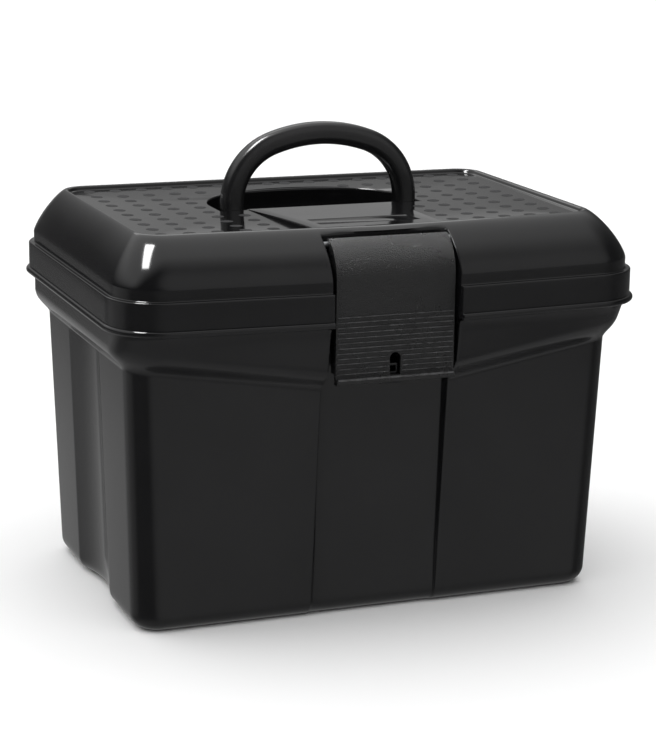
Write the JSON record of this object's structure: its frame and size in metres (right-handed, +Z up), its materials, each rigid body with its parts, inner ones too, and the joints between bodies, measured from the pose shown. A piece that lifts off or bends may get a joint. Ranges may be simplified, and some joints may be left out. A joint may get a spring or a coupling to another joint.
{
  "type": "horse grooming box",
  "caption": "Moulded black box with a bowed front and a domed hinged lid, a loop handle that folds into a well, a wide snap latch and a lift-out divided tray, for carrying grooming tools.",
  "frame": {"origin": "on the floor under the base, midway between the sides and midway between the rear bead and the corners of the front bead of the lid", "axes": "+X to the right along the front, +Y to the rear where the hinges are, +Z up"},
  "size_m": [0.4, 0.3062, 0.3403],
  "materials": {
    "shell": "glossy black polypropylene",
    "satin": "satin black polypropylene with a fine grain",
    "tray": "satin black polypropylene",
    "steel": "drawn steel rod"
  },
  "bodies": {
    "base": {"base_shell": "shell", "latch_catch": "shell", "hinge_pin_left": "steel", "hinge_pin_right": "steel"},
    "lid": {"lid_shell": "shell", "latch_pin": "steel", "handle_pin_left": "satin", "handle_pin_right": "satin"},
    "latch": {"latch_plate": "satin"},
    "handle": {"carry_handle": "satin"},
    "tray": {"lift_out_tray": "tray", "tray_divider_left": "tray", "tray_divider_right": "tray"}
  },
  "joints": [
    {"name": "lid_open", "type": "hinge", "parent": "base", "child": "lid", "pos_m": [0, 0.149, 0.2208], "axis": [-1, 0, 0], "range_deg": [0, 105]},
    {"name": "latch_open", "type": "hinge", "parent": "lid", "child": "latch", "pos_m": [0, -0.12346, 0.27427], "axis": [-1, 0, 0], "range_deg": [0, 95]},
    {"name": "handle_fold", "type": "hinge", "parent": "lid", "child": "handle", "pos_m": [0, 0.0095, 0.2679], "axis": [-1, 0, 0], "range_deg": [0, 90]},
    {"name": "tray_lift", "type": "slide", "parent": "base", "child": "tray", "axis": [0, 0, 1], "range_m": [0, 0.04]}
  ]
}
